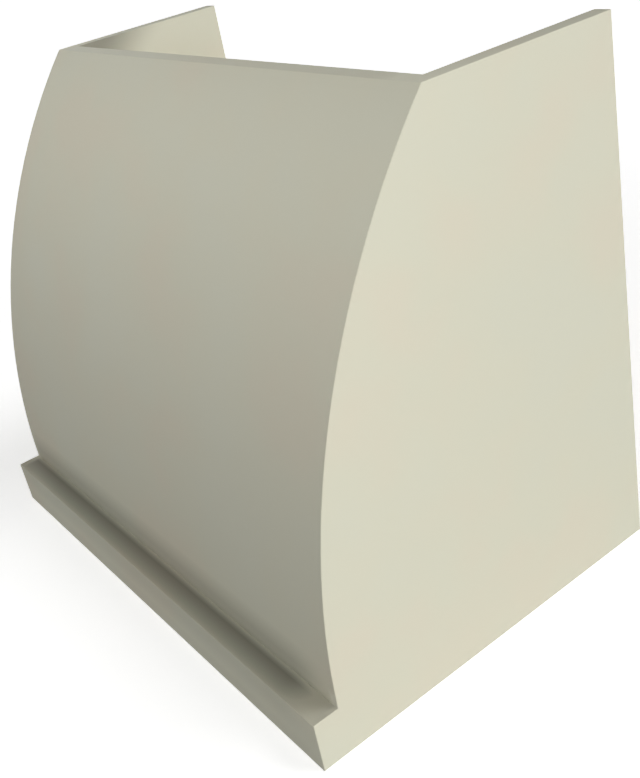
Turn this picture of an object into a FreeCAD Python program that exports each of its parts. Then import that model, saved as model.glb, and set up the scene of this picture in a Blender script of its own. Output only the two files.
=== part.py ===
import FreeCAD, Part
import math
import os

# Curved-front wooden cover for a kitchen range hood.  It hangs on the wall over a cooker,
# between wall cabinets, and hides a bought hood insert and its duct.
#
# Frame: the origin is the middle of the bottom edge in the plane of the wall.
# +X is the right-hand side as the cook sees it, -Y is out into the room, +Z is up.
# All lengths are in millimetres.

# ---------------------------------------------------------------- outside sizes
WIDTH = 914.4  # over the two side panels, 36 in
HEIGHT = 762.0  # bottom edge to top edge, 30 in
DEPTH = 609.6  # wall to the face of the lip, 24 in
TOP_DEPTH = 304.8  # wall to the bowed front along the top edge, 12 in as wall cabinets
LIP_HEIGHT = 76.2  # bottom edge to the ledge, 3 in
LEDGE = 38.1  # tread of the ledge in front of the bowed front, 1 1/2 in

# ---------------------------------------------------------------- stock
SIDE_THICKNESS = 25.4  # side panels, 1 in
BENDING_PLY = 6.35  # one layer of bending plywood, 1/4 in
BOARD = 19.05  # ribs, rails, stretchers and lip boards, 3/4 in

# ---------------------------------------------------------------- joints
HOUSING_DEPTH = 9.5  # how far the front and the rails run into each side panel
GLUE_GAP = 0.2  # room for glue round a hidden housing or notch
TONGUE = 6.35  # thickness and length of the tongue between ledge and lip face

# ---------------------------------------------------------------- ribs and stretchers
LEDGE_BOARD_WIDTH = 101.6  # face of the lip to the back of the ledge board, 4 in
RIB_TOP_DEPTH = 44.45  # depth of a rib at its upper end, square to the bow
STRETCHER_WIDTH = 63.5  # top and middle stretchers, 2 1/2 in
STRETCHER_DROP = 38.1  # top edge of the cover down to the top stretcher
FOOT_CLEAT = 19.05  # square cleat behind the foot of the bow

# ---------------------------------------------------------------- frame for the insert
FRAME_HEIGHT = 38.1  # stock of the four frame rails on edge, 1 1/2 in
FRAME_RAIL_WIDTH = 44.45  # left, right and rear frame rails, 1 3/4 in
INSERT_HOLE_RADIUS = 2.25  # clearance for the insert's own 4 mm screws
INSERT_HOLE_SPACING = 330.2  # front to back between the insert's screws, 13 in

# ---------------------------------------------------------------- wall side
HANGING_RAIL_DROP = 114.3  # top edge of the cover down to the hanging rail
HANGING_RAIL_HEIGHT = 88.9  # over its long back face
WALL_CLEAT_HEIGHT = 88.9  # over its long front face
CLEAT_END_ROOM = 6.35  # each end of the wall cleat to the side panel
LOWER_RAIL_HEIGHT = 88.9
STUD_SPACING = 406.4  # wall studs, 16 in centre to centre
WALL_HOLE_RADIUS = 4.0  # clearance for the structural screws in the studs
LOWER_HOLE_RADIUS = 3.0  # clearance for the screws that stop the foot kicking out
LOWER_HOLE_DROP = 15.9  # top of the lower rail down to its screw holes
CORNER_BLOCK = 38.1  # legs of the three-sided glue blocks

# ---------------------------------------------------------------- wood screws
SCREW_RADIUS = 2.1
SCREW_HEAD_RADIUS = 4.1
SCREW_HEAD_HEIGHT = 2.6
SCREW_TIP = 6.0
SCREW_POINT = 0.4  # radius left at the very tip
SCREW_FLATS = 12  # flats that stand for the round of a screw and its hole
SCREW_ROOM = 0.1  # hole wall to screw
FRAME_SCREW_BITE = 14.0  # how far a frame screw runs into the side panel
LAP_SCREW_LENGTH = 31.75  # 1 1/4 in, through both halves of a lap
RIB_SCREW_LENGTH = 44.45  # 1 3/4 in, through the middle stretcher into a rib
FOOT_SCREW_LENGTH = 31.75  # 1 1/4 in, through the foot cleat into the ledge board
FRAME_SCREW_END = 127.0  # end of a side rail to its first side screw

# ---------------------------------------------------------------- counts
BOW_LAYERS = ["outer", "middle", "inner"]
RIB_NAMES = ["left_rib", "centre_rib", "right_rib"]
FRAME_SCREWS_PER_SIDE = 4

# ---------------------------------------------------------------- worked-out places
# The front is one circular arc that springs plumb from the ledge and leans back to the wall.
SPRING_Y = -(DEPTH - LEDGE)
BOW_RISE = HEIGHT - LIP_HEIGHT
BOW_SETBACK = DEPTH - LEDGE - TOP_DEPTH
BOW_RADIUS = (BOW_RISE ** 2 + BOW_SETBACK ** 2) / (2 * BOW_SETBACK)
BOW_CENTRE_Y = SPRING_Y + BOW_RADIUS
BOW_BACK_RADIUS = BOW_RADIUS - BENDING_PLY * len(BOW_LAYERS)
RIB_RADIUS = BOW_BACK_RADIUS - GLUE_GAP

INNER_X = WIDTH / 2 - SIDE_THICKNESS
SHOULDER_X = INNER_X + HOUSING_DEPTH
LIP_BACK_Y = -(DEPTH - BOARD)
LEDGE_BACK_Y = -(DEPTH - LEDGE_BOARD_WIDTH)
LEDGE_UNDERSIDE = LIP_HEIGHT - BOARD
FRAME_TOP = LEDGE_UNDERSIDE
FRAME_BOTTOM = FRAME_TOP - FRAME_HEIGHT
FRAME_MIDDLE = (FRAME_TOP + FRAME_BOTTOM) / 2
FRAME_SIDE_X = INNER_X - FRAME_RAIL_WIDTH
FRAME_REAR_Y = -(BOARD + FRAME_RAIL_WIDTH)
HANGING_TOP = HEIGHT - HANGING_RAIL_DROP
HANGING_TIP = HANGING_TOP - HANGING_RAIL_HEIGHT
CUT_PAST = 5.0  # how far a cutting block runs past an open face


# ---------------------------------------------------------------- geometry helpers
def yz(y, z):
    """A point of a cross-section, in the plane x = 0."""
    return FreeCAD.Vector(0, y, z)


def on_bow(radius, angle):
    """A point round the centre of the bow; the angle is 0 at the ledge and grows upwards."""
    y = BOW_CENTRE_Y - radius * math.cos(angle)
    z = LIP_HEIGHT + radius * math.sin(angle)
    return yz(y, z)


def bow_angle(radius, z):
    """The angle at which a circle of this radius reaches height z."""
    return math.asin((z - LIP_HEIGHT) / radius)


def bow_arc(radius, start, end):
    middle = (start + end) / 2
    return Part.Arc(on_bow(radius, start), on_bow(radius, middle), on_bow(radius, end)).toShape()


def edge(a, b):
    return Part.LineSegment(a, b).toShape()


def section(points):
    """A straight-sided cross-section."""
    return Part.Face(Part.makePolygon(points + [points[0]]))


def upright_section(y_front, y_back, z_low, z_high):
    """A section with level and plumb sides."""
    low = [yz(y_back, z_low), yz(y_front, z_low)]
    high = [yz(y_front, z_high), yz(y_back, z_high)]
    return section(low + high)


def along_x(face, x_start, x_end):
    """Runs a cross-section from one x to another."""
    moved = face.copy()
    moved.translate(FreeCAD.Vector(x_start, 0, 0))
    return moved.extrude(FreeCAD.Vector(x_end - x_start, 0, 0))


def block(x_start, x_end, y_start, y_end, z_start, z_end):
    corner = FreeCAD.Vector(x_start, y_start, z_start)
    return Part.makeBox(x_end - x_start, y_end - y_start, z_end - z_start, corner)


def bow_band(outer_radius, inner_radius, low_z, high_z):
    """The section between two concentric arcs, cut level at its foot and its top."""
    outer_low = bow_angle(outer_radius, low_z)
    outer_high = bow_angle(outer_radius, high_z)
    inner_low = bow_angle(inner_radius, low_z)
    inner_high = bow_angle(inner_radius, high_z)
    edges = [
        bow_arc(outer_radius, outer_low, outer_high),
        edge(on_bow(outer_radius, outer_high), on_bow(inner_radius, inner_high)),
        bow_arc(inner_radius, inner_high, inner_low),
        edge(on_bow(inner_radius, inner_low), on_bow(outer_radius, outer_low)),
    ]
    return Part.Face(Part.Wire(edges))


def plank_section(low, high, inward, room=0.0, open_face=0.0):
    """A board's section: one face from low to high, its thickness along inward.

    room makes it larger all round, for the housing or notch that takes the board, and
    open_face runs it on past that first face, where the notch is open.
    """
    up = (high - low).normalize()
    start = inward * (room + open_face)
    through = inward * (BOARD + 2 * room + open_face)
    outer_low = low - up * room - start
    outer_high = high + up * room - start
    return section([outer_low, outer_high, outer_high + through, outer_low + through])


# ---------------------------------------------------------------- sections shared by several pieces
def rib_back_line():
    """The straight back edge of a rib, from the ledge board up."""
    top_angle = bow_angle(RIB_RADIUS, HEIGHT - STRETCHER_DROP)
    return yz(LEDGE_BACK_Y, LIP_HEIGHT), on_bow(RIB_RADIUS - RIB_TOP_DEPTH, top_angle)


def top_stretcher_section(room=0.0, open_face=0.0):
    """The top stretcher lies flat against the back of the bow."""
    high_angle = bow_angle(RIB_RADIUS, HEIGHT - STRETCHER_DROP)
    low_angle = high_angle - 2 * math.asin(STRETCHER_WIDTH / (2 * RIB_RADIUS))
    middle_angle = (high_angle + low_angle) / 2
    inward = yz(math.cos(middle_angle), -math.sin(middle_angle))
    low = on_bow(RIB_RADIUS, low_angle)
    high = on_bow(RIB_RADIUS, high_angle)
    return plank_section(low, high, inward, room, open_face)


def middle_stretcher_section(room=0.0, open_face=0.0):
    """The middle stretcher is let in flush with the back edges of the ribs."""
    foot, head = rib_back_line()
    up = (head - foot).normalize()
    forward = yz(-up.z, up.y)
    centre = (foot + head) * 0.5
    low = centre - up * (STRETCHER_WIDTH / 2)
    high = centre + up * (STRETCHER_WIDTH / 2)
    return plank_section(low, high, forward, room, open_face)


def foot_cleat_front():
    """Where the front of the foot cleat stands: its top edge meets the back of the bow."""
    return on_bow(RIB_RADIUS, bow_angle(RIB_RADIUS, LIP_HEIGHT + FOOT_CLEAT)).y


def foot_cleat_section(room=0.0, open_face=0.0):
    front = foot_cleat_front() - room - open_face
    back = foot_cleat_front() + FOOT_CLEAT + room
    return upright_section(front, back, LIP_HEIGHT, LIP_HEIGHT + FOOT_CLEAT + room)


# ---------------------------------------------------------------- screws
def ring(radius, z):
    """A many-sided ring round the Z axis, its corners on the true circle."""
    points = []
    for number in range(SCREW_FLATS):
        turn = 2 * math.pi * number / SCREW_FLATS
        points.append(FreeCAD.Vector(radius * math.cos(turn), radius * math.sin(turn), z))
    return Part.makePolygon(points + [points[0]])


def screw(place, direction, length, room=0.0):
    """A countersunk wood screw, its head flush at place; room makes the hole that takes it."""
    rings = [
        ring(SCREW_HEAD_RADIUS + room, 0),
        ring(SCREW_RADIUS + room, SCREW_HEAD_HEIGHT),
        ring(SCREW_RADIUS + room, length - SCREW_TIP + room),
        ring(SCREW_POINT + room, length + room),
    ]
    solid = Part.makeLoft(rings, True, True)
    turn = FreeCAD.Rotation(FreeCAD.Vector(0, 0, 1), direction)
    solid.Placement = FreeCAD.Placement(place, turn)
    return solid


def screws(places, direction, length):
    return [screw(place, direction, length) for place in places]


def drill(solid, places, direction, length):
    """Bores the countersunk holes that take a row of screws."""
    for place in places:
        solid = solid.cut(screw(place, direction, length, SCREW_ROOM))
    return solid


def bore(solid, places, direction, radius, depth):
    """Bores plain through holes; each place is on the face where the drill goes in."""
    for place in places:
        start = place - direction * CUT_PAST
        hole = Part.makeCylinder(radius, depth + 2 * CUT_PAST, start, direction)
        solid = solid.cut(hole)
    return solid


UP = FreeCAD.Vector(0, 0, 1)
DOWN = FreeCAD.Vector(0, 0, -1)
TO_WALL = FreeCAD.Vector(0, 1, 0)


def outward(side):
    """The direction from the middle of the cover towards one side: -1 is left, 1 is right."""
    return FreeCAD.Vector(side, 0, 0)


def lap_screw_places(side):
    """Two screws up through each corner lap of the insert frame, set on the diagonal."""
    third = FRAME_RAIL_WIDTH / 3
    front_third = (LEDGE_BACK_Y - LIP_BACK_Y) / 3
    places = []
    for step in (1, 2):
        x = side * (INNER_X - third * step)
        places.append(FreeCAD.Vector(x, LIP_BACK_Y + front_third * step, FRAME_BOTTOM))
        places.append(FreeCAD.Vector(x, -BOARD - third * step, FRAME_BOTTOM))
    return places


def side_screw_places(side):
    """Screws through a side rail of the insert frame into the side panel."""
    first = LIP_BACK_Y + FRAME_SCREW_END
    last = -BOARD - FRAME_SCREW_END
    pitch = (last - first) / (FRAME_SCREWS_PER_SIDE - 1)
    places = []
    for number in range(FRAME_SCREWS_PER_SIDE):
        y = first + pitch * number
        places.append(FreeCAD.Vector(side * FRAME_SIDE_X, y, FRAME_MIDDLE))
    return places


def side_screw_length():
    return FRAME_RAIL_WIDTH + FRAME_SCREW_BITE


def rib_positions():
    """The ribs share the space between the side panels evenly."""
    bay = 2 * INNER_X / (len(RIB_NAMES) + 1)
    return [-INNER_X + bay * (number + 1) for number in range(len(RIB_NAMES))]


def rib_screw_places(rib_x):
    """Two screws through the middle stretcher into the back edge of a rib."""
    foot, head = rib_back_line()
    up = (head - foot).normalize()
    centre = (foot + head) * 0.5
    places = []
    for step in (-1, 1):
        place = centre + up * (step * STRETCHER_WIDTH / 4)
        places.append(FreeCAD.Vector(rib_x, place.y, place.z))
    return places


def rib_screw_direction():
    foot, head = rib_back_line()
    up = (head - foot).normalize()
    return yz(-up.z, up.y)


def foot_screw_places():
    """One screw down through the foot cleat in the middle of each bay between ribs."""
    bay = 2 * INNER_X / (len(RIB_NAMES) + 1)
    y = foot_cleat_front() + FOOT_CLEAT / 2
    top = LIP_HEIGHT + FOOT_CLEAT
    bays = range(len(RIB_NAMES) + 1)
    return [FreeCAD.Vector(-INNER_X + bay * (number + 0.5), y, top) for number in bays]


def insert_hole_places(side):
    """Holes in a side rail for the screws that hold the bought insert."""
    x = side * (INNER_X - FRAME_RAIL_WIDTH / 2)
    middle = (LEDGE_BACK_Y + FRAME_REAR_Y) / 2
    half = INSERT_HOLE_SPACING / 2
    return [FreeCAD.Vector(x, middle + step * half, FRAME_BOTTOM) for step in (-1, 1)]


def stud_places(z):
    return [FreeCAD.Vector(step * STUD_SPACING / 2, -BOARD, z) for step in (-1, 1)]


# ---------------------------------------------------------------- side panels
def side_outline():
    """The whole side: plumb at the wall, level on top, bowed in front, stepped at the lip."""
    top_angle = bow_angle(BOW_RADIUS, HEIGHT)
    edges = [
        edge(yz(0, 0), yz(0, HEIGHT)),
        edge(yz(0, HEIGHT), yz(-TOP_DEPTH, HEIGHT)),
        bow_arc(BOW_RADIUS, top_angle, 0.0),
        edge(yz(SPRING_Y, LIP_HEIGHT), yz(-DEPTH, LIP_HEIGHT)),
        edge(yz(-DEPTH, LIP_HEIGHT), yz(-DEPTH, 0)),
        edge(yz(-DEPTH, 0), yz(0, 0)),
    ]
    return Part.Face(Part.Wire(edges))


def front_rabbet_sections():
    """The rabbet that takes the ends of the bow, the ledge board and the lip face."""
    bow = bow_band(BOW_RADIUS + CUT_PAST, BOW_BACK_RADIUS - GLUE_GAP, LIP_HEIGHT, HEIGHT + CUT_PAST)
    front = -DEPTH - CUT_PAST
    ledge = upright_section(front, LEDGE_BACK_Y + GLUE_GAP, LEDGE_UNDERSIDE - GLUE_GAP, LIP_HEIGHT)
    lip = upright_section(front, LIP_BACK_Y + GLUE_GAP, -CUT_PAST, LIP_HEIGHT)
    return [bow, ledge, lip]


def rear_housing_sections():
    """Housings, open at the wall, for the ends of the hanging rail and the lower rail."""
    front = -BOARD - GLUE_GAP
    hanging = upright_section(front, CUT_PAST, HANGING_TIP - GLUE_GAP, HANGING_TOP + GLUE_GAP)
    lower = upright_section(front, CUT_PAST, -CUT_PAST, LOWER_RAIL_HEIGHT + GLUE_GAP)
    return [hanging, lower]


def side_panel(side):
    """side is -1 for the left panel and 1 for the right one."""
    panel = along_x(side_outline(), side * INNER_X, side * WIDTH / 2)
    seats = front_rabbet_sections() + rear_housing_sections()
    seats += [top_stretcher_section(GLUE_GAP, CUT_PAST), middle_stretcher_section(GLUE_GAP)]
    for seat in seats:
        panel = panel.cut(along_x(seat, side * (INNER_X - CUT_PAST), side * SHOULDER_X))
    return drill(panel, side_screw_places(side), outward(side), side_screw_length())


# ---------------------------------------------------------------- bowed front
def bow_layer(number):
    """One sheet of bending plywood; number 0 is the outer one."""
    outer_radius = BOW_RADIUS - BENDING_PLY * number
    band = bow_band(outer_radius, outer_radius - BENDING_PLY, LIP_HEIGHT, HEIGHT)
    return along_x(band, -SHOULDER_X, SHOULDER_X)


def top_stretcher():
    return along_x(top_stretcher_section(), -SHOULDER_X + GLUE_GAP, SHOULDER_X - GLUE_GAP)


def middle_stretcher():
    bar = along_x(middle_stretcher_section(), -SHOULDER_X + GLUE_GAP, SHOULDER_X - GLUE_GAP)
    for rib_x in rib_positions():
        bar = drill(bar, rib_screw_places(rib_x), rib_screw_direction(), RIB_SCREW_LENGTH)
    return bar


def rib(rib_x):
    """A rib: bowed in front, straight behind, notched over cleat and stretchers."""
    foot, head = rib_back_line()
    top_angle = bow_angle(RIB_RADIUS, HEIGHT - STRETCHER_DROP)
    edges = [
        bow_arc(RIB_RADIUS, 0.0, top_angle),
        edge(on_bow(RIB_RADIUS, top_angle), head),
        edge(head, foot),
        edge(foot, on_bow(RIB_RADIUS, 0.0)),
    ]
    outline = Part.Face(Part.Wire(edges))
    body = along_x(outline, rib_x - BOARD / 2, rib_x + BOARD / 2)
    notches = [
        foot_cleat_section(GLUE_GAP, CUT_PAST),
        top_stretcher_section(GLUE_GAP, CUT_PAST),
        middle_stretcher_section(GLUE_GAP, CUT_PAST),
    ]
    for notch in notches:
        body = body.cut(along_x(notch, rib_x - BOARD, rib_x + BOARD))
    return drill(body, rib_screw_places(rib_x), rib_screw_direction(), RIB_SCREW_LENGTH)


def foot_cleat():
    bar = along_x(foot_cleat_section(), -INNER_X + GLUE_GAP, INNER_X - GLUE_GAP)
    return drill(bar, foot_screw_places(), DOWN, FOOT_SCREW_LENGTH)


# ---------------------------------------------------------------- lip
def lip_face_board():
    """The upright face of the lip, grooved behind for the ledge board's tongue."""
    board = block(-SHOULDER_X, SHOULDER_X, -DEPTH, LIP_BACK_Y, 0, LIP_HEIGHT)
    middle = LIP_HEIGHT - BOARD / 2
    groove_half = TONGUE / 2 + GLUE_GAP
    groove_front = LIP_BACK_Y - TONGUE - GLUE_GAP
    groove = block(
        -SHOULDER_X - CUT_PAST,
        SHOULDER_X + CUT_PAST,
        groove_front,
        LIP_BACK_Y + CUT_PAST,
        middle - groove_half,
        middle + groove_half,
    )
    return board.cut(groove)


def lip_ledge_board():
    """The tread: the bow, the ribs and the foot cleat stand on its back half."""
    board = block(-SHOULDER_X, SHOULDER_X, LIP_BACK_Y, LEDGE_BACK_Y, LEDGE_UNDERSIDE, LIP_HEIGHT)
    middle = LIP_HEIGHT - BOARD / 2
    tongue = block(
        -SHOULDER_X,
        SHOULDER_X,
        LIP_BACK_Y - TONGUE,
        LIP_BACK_Y,
        middle - TONGUE / 2,
        middle + TONGUE / 2,
    )
    board = board.fuse(tongue).removeSplitter()
    return drill(board, foot_screw_places(), DOWN, FOOT_SCREW_LENGTH)


# ---------------------------------------------------------------- frame for the insert
def frame_cross_rail(y_start, y_end):
    """Front or rear rail; its ends are halved from below over the side rails."""
    rail = block(-INNER_X, INNER_X, y_start, y_end, FRAME_BOTTOM, FRAME_TOP)
    for side in (-1, 1):
        inner = side * FRAME_SIDE_X
        outer = side * (INNER_X + CUT_PAST)
        low_x = min(inner, outer)
        high_x = max(inner, outer)
        low_z = FRAME_BOTTOM - CUT_PAST
        half = block(low_x, high_x, y_start - CUT_PAST, y_end + CUT_PAST, low_z, FRAME_MIDDLE)
        rail = rail.cut(half)
        rail = drill(rail, lap_screw_places(side), UP, LAP_SCREW_LENGTH)
    return rail


def frame_side_rail(side):
    """Left or right rail; its ends are halved from above under the cross rails."""
    low_x = min(side * FRAME_SIDE_X, side * INNER_X)
    high_x = max(side * FRAME_SIDE_X, side * INNER_X)
    rail = block(low_x, high_x, LIP_BACK_Y, -BOARD, FRAME_BOTTOM, FRAME_TOP)
    for y_start, y_end in ((LIP_BACK_Y, LEDGE_BACK_Y), (FRAME_REAR_Y, -BOARD)):
        top = FRAME_TOP + CUT_PAST
        rail = rail.cut(block(low_x - CUT_PAST, high_x + CUT_PAST, y_start, y_end, FRAME_MIDDLE, top))
    rail = drill(rail, lap_screw_places(side), UP, LAP_SCREW_LENGTH)
    rail = drill(rail, side_screw_places(side), outward(side), side_screw_length())
    return bore(rail, insert_hole_places(side), UP, INSERT_HOLE_RADIUS, FRAME_HEIGHT)


# ---------------------------------------------------------------- wall side
def hanging_rail():
    """Fixed in the cover; its under edge slopes up from the wall to hook on the wall cleat."""
    profile = section([
        yz(0, HANGING_TIP),
        yz(0, HANGING_TOP),
        yz(-BOARD, HANGING_TOP),
        yz(-BOARD, HANGING_TIP + BOARD),
    ])
    return along_x(profile, -SHOULDER_X + GLUE_GAP, SHOULDER_X - GLUE_GAP)


def wall_cleat():
    """Screwed to the wall first; its upper edge slopes down to the wall and takes the hook."""
    front_top = HANGING_TIP + BOARD
    profile = section([
        yz(0, HANGING_TIP),
        yz(-BOARD, front_top),
        yz(-BOARD, front_top - WALL_CLEAT_HEIGHT),
        yz(0, front_top - WALL_CLEAT_HEIGHT),
    ])
    half_length = INNER_X - CLEAT_END_ROOM
    cleat = along_x(profile, -half_length, half_length)
    hole_z = front_top - WALL_CLEAT_HEIGHT / 2
    return bore(cleat, stud_places(hole_z), TO_WALL, WALL_HOLE_RADIUS, BOARD)


def lower_wall_rail():
    half_length = SHOULDER_X - GLUE_GAP
    rail = block(-half_length, half_length, -BOARD, 0, 0, LOWER_RAIL_HEIGHT)
    hole_z = LOWER_RAIL_HEIGHT - LOWER_HOLE_DROP
    return bore(rail, stud_places(hole_z), TO_WALL, LOWER_HOLE_RADIUS, BOARD)


def corner_block(side, low_z, high_z):
    """A three-sided block glued in the corner between a wall rail and a side panel."""
    corner = FreeCAD.Vector(side * INNER_X, -BOARD, low_z)
    points = [
        corner,
        corner - outward(side) * CORNER_BLOCK,
        corner - TO_WALL * CORNER_BLOCK,
    ]
    return section(points).extrude(FreeCAD.Vector(0, 0, high_z - low_z))


def corner_blocks():
    blocks = []
    for side in (-1, 1):
        blocks.append(corner_block(side, FRAME_TOP, LOWER_RAIL_HEIGHT))
        blocks.append(corner_block(side, HANGING_TIP + BOARD, HANGING_TOP))
    return blocks


# ---------------------------------------------------------------- groups of screws
def lap_screws():
    made = []
    for side in (-1, 1):
        made += screws(lap_screw_places(side), UP, LAP_SCREW_LENGTH)
    return made


def frame_side_screws():
    made = []
    for side in (-1, 1):
        made += screws(side_screw_places(side), outward(side), side_screw_length())
    return made


def rib_screws():
    made = []
    for rib_x in rib_positions():
        made += screws(rib_screw_places(rib_x), rib_screw_direction(), RIB_SCREW_LENGTH)
    return made


def foot_cleat_screws():
    return screws(foot_screw_places(), DOWN, FOOT_SCREW_LENGTH)


# ---------------------------------------------------------------- the whole cover
def all_pieces():
    pieces = {
        "left_side_panel": side_panel(-1),
        "right_side_panel": side_panel(1),
        "top_stretcher": top_stretcher(),
        "middle_stretcher": middle_stretcher(),
        "bow_foot_cleat": foot_cleat(),
        "lip_face_board": lip_face_board(),
        "lip_ledge_board": lip_ledge_board(),
        "insert_frame_front_rail": frame_cross_rail(LIP_BACK_Y, LEDGE_BACK_Y),
        "insert_frame_rear_rail": frame_cross_rail(FRAME_REAR_Y, -BOARD),
        "insert_frame_left_rail": frame_side_rail(-1),
        "insert_frame_right_rail": frame_side_rail(1),
        "hanging_rail": hanging_rail(),
        "wall_cleat": wall_cleat(),
        "lower_wall_rail": lower_wall_rail(),
        "corner_glue_blocks": Part.Compound(corner_blocks()),
        "insert_frame_lap_screws": Part.Compound(lap_screws()),
        "insert_frame_side_screws": Part.Compound(frame_side_screws()),
        "rib_screws": Part.Compound(rib_screws()),
        "foot_cleat_screws": Part.Compound(foot_cleat_screws()),
    }
    for number, name in enumerate(BOW_LAYERS):
        pieces["bowed_front_" + name + "_layer"] = bow_layer(number)
    for name, rib_x in zip(RIB_NAMES, rib_positions()):
        pieces[name] = rib(rib_x)
    return pieces


os.makedirs("parts", exist_ok=True)
for node, shape in all_pieces().items():
    shape.exportStep("parts/" + node + ".step")
    print(node, len(shape.Solids), "solid(s)", round(shape.Volume / 1000), "cm3")
print("bow radius", round(BOW_RADIUS, 1), "mm")
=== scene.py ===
# %% [markdown]
# # A wooden range hood cover with a bowed front
#
# The cover hangs on a kitchen wall above the cooker, between the wall cabinets, and hides a
# bought hood, its blower and its duct. A cabinet shop glues it up from boards and bending
# plywood and sprays it. The solids come ready-made from the CAD frame, in metres. In this
# lesson they get their finishes, rounded edges, real screws, a camera and a studio.

# %% Load the frame
import math

import bmesh
import bpy
from mathutils import Matrix, Vector


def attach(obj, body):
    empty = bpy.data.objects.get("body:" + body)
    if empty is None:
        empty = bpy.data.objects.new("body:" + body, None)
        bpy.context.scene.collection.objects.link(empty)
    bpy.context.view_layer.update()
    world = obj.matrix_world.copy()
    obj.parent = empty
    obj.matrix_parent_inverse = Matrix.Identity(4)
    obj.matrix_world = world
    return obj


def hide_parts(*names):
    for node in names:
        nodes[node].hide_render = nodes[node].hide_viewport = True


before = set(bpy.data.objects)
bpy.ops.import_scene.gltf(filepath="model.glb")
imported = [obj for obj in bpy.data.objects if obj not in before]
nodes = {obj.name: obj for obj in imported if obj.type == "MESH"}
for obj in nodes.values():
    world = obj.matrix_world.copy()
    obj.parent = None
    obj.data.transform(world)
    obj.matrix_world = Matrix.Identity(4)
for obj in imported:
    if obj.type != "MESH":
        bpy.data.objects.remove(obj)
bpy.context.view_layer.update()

print("solids in the frame:", len(nodes))

# %% [markdown]
# ## Objects in the scene
#
# Blender keeps data, such as a mesh, a lamp or a lens, apart from the object that puts it
# somewhere. An object shows only once it is linked to the scene, so one function does both.

# %% One function for objects
def in_scene(name, data):
    """A new object that holds the data, linked to the scene."""
    made = bpy.data.objects.new(name, data)
    bpy.context.scene.collection.objects.link(made)
    return made


# %% [markdown]
# ## The camera
#
# A picture of a box holds enough straight edges to work back to where the camera stood. It was
# a little above the top edge and off the right-hand front corner, it looked down by 26
# degrees, and it was tipped sideways by 12. The focal length is kept in pixels, because that
# is what edges in a picture give; Blender wants millimetres on a 36 mm sensor along the
# picture's long side. The lens shift moves the picture's centre to where the lines of sight
# say that it was.

# %% Place the camera
PICTURE_WIDTH, PICTURE_HEIGHT = 640, 778
SENSOR = 36.0
CAMERA_PLACE = Vector((1.2780, -1.0150, 1.0145))
AZIMUTH, ELEVATION, ROLL = (math.radians(a) for a in (58.15, 26.30, 11.97))
FOCAL_PIXELS = 1037.0
CENTRE_PIXEL = (310.0, 351.5)

forward = Vector((
    -math.sin(AZIMUTH) * math.cos(ELEVATION),
    math.cos(AZIMUTH) * math.cos(ELEVATION),
    -math.sin(ELEVATION),
))
level = forward.cross(Vector((0, 0, 1))).normalized()
right = math.cos(ROLL) * level + math.sin(ROLL) * forward.cross(level)
up = right.cross(forward)

camera = in_scene("camera", bpy.data.cameras.new("camera"))
turn = Matrix((right, up, -forward)).transposed()
camera.matrix_world = Matrix.Translation(CAMERA_PLACE) @ turn.to_4x4()
camera.data.sensor_width = SENSOR
camera.data.lens = FOCAL_PIXELS / PICTURE_HEIGHT * SENSOR
camera.data.shift_x = (PICTURE_WIDTH / 2 - CENTRE_PIXEL[0]) / PICTURE_HEIGHT
camera.data.shift_y = (CENTRE_PIXEL[1] - PICTURE_HEIGHT / 2) / PICTURE_HEIGHT
bpy.context.scene.camera = camera
print("lens", round(camera.data.lens, 1), "mm")

# %% [markdown]
# ## Colours and nodes
#
# Colours are written as the hex values that a paint chart or a picture editor shows. Those are
# sRGB, and a shader works with linear light, so one function turns them over. One more small
# function adds a shader node: it sets what is given, links every input that is another
# node's output, and puts the stops on a colour ramp. With it, a whole material reads as a
# list.

# %% One function for colours, one for nodes
MM = 0.001


def linear(hex_colour):
    """A hex sRGB colour as linear red, green, blue and alpha."""
    parts = [int(hex_colour[i:i + 2], 16) / 255 for i in (1, 3, 5)]
    return [p / 12.92 if p <= 0.04045 else ((p + 0.055) / 1.055) ** 2.4 for p in parts] + [1.0]


def add(tree, kind, inputs=None, stops=(), **settings):
    """Adds a shader node. An input that is an output socket is linked, any other is set."""
    made = tree.nodes.new("ShaderNode" + kind)
    if stops:
        ramp = made.color_ramp.elements
        ramp[0].position, ramp[0].color = stops[0]
        ramp[1].position, ramp[1].color = stops[-1]
        for position, colour in stops[1:-1]:
            ramp.new(position).color = colour
    for name, value in settings.items():
        setattr(made, name, value)
    for name, value in (inputs or {}).items():
        if isinstance(value, bpy.types.NodeSocket):
            tree.links.new(value, made.inputs[name])
        else:
            made.inputs[name].default_value = value
    return made


print("a middle grey in linear light:", round(linear("#808080")[0], 3))

# %% [markdown]
# ## Start and end of a material
#
# Each material starts as an empty tree of nodes with one thing in it: the place of the shaded
# point on the object, in metres. Everything here is worked out from that place, so a pattern
# keeps its real size on each piece. And each ends the same way, with a bump from a height, a
# shader and an output. Paint and wood get a specular level of half Blender's usual 0.5, so
# that they shine only a little.

# %% Start and end of a material
SPECULAR = 0.25


def new_material(name):
    """A material, its empty tree of nodes and the place of the shaded point."""
    material = bpy.data.materials.new(name)
    material.use_nodes = True
    tree = material.node_tree
    tree.nodes.clear()
    place = add(tree, "TexCoord").outputs["Object"]
    return material, tree, place


def surface(tree, colour, rough, height, depth):
    """The last three nodes of a material: bump, shader and output."""
    bump = add(tree, "Bump", {"Height": height, "Distance": depth, "Strength": 1.0})
    shader = add(tree, "BsdfPrincipled", {
        "Base Color": colour, "Roughness": rough, "Normal": bump.outputs["Normal"],
        "Specular IOR Level": SPECULAR,
    })
    add(tree, "OutputMaterial", {"Surface": shader.outputs["BSDF"]})


print("specular level:", SPECULAR)

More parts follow.
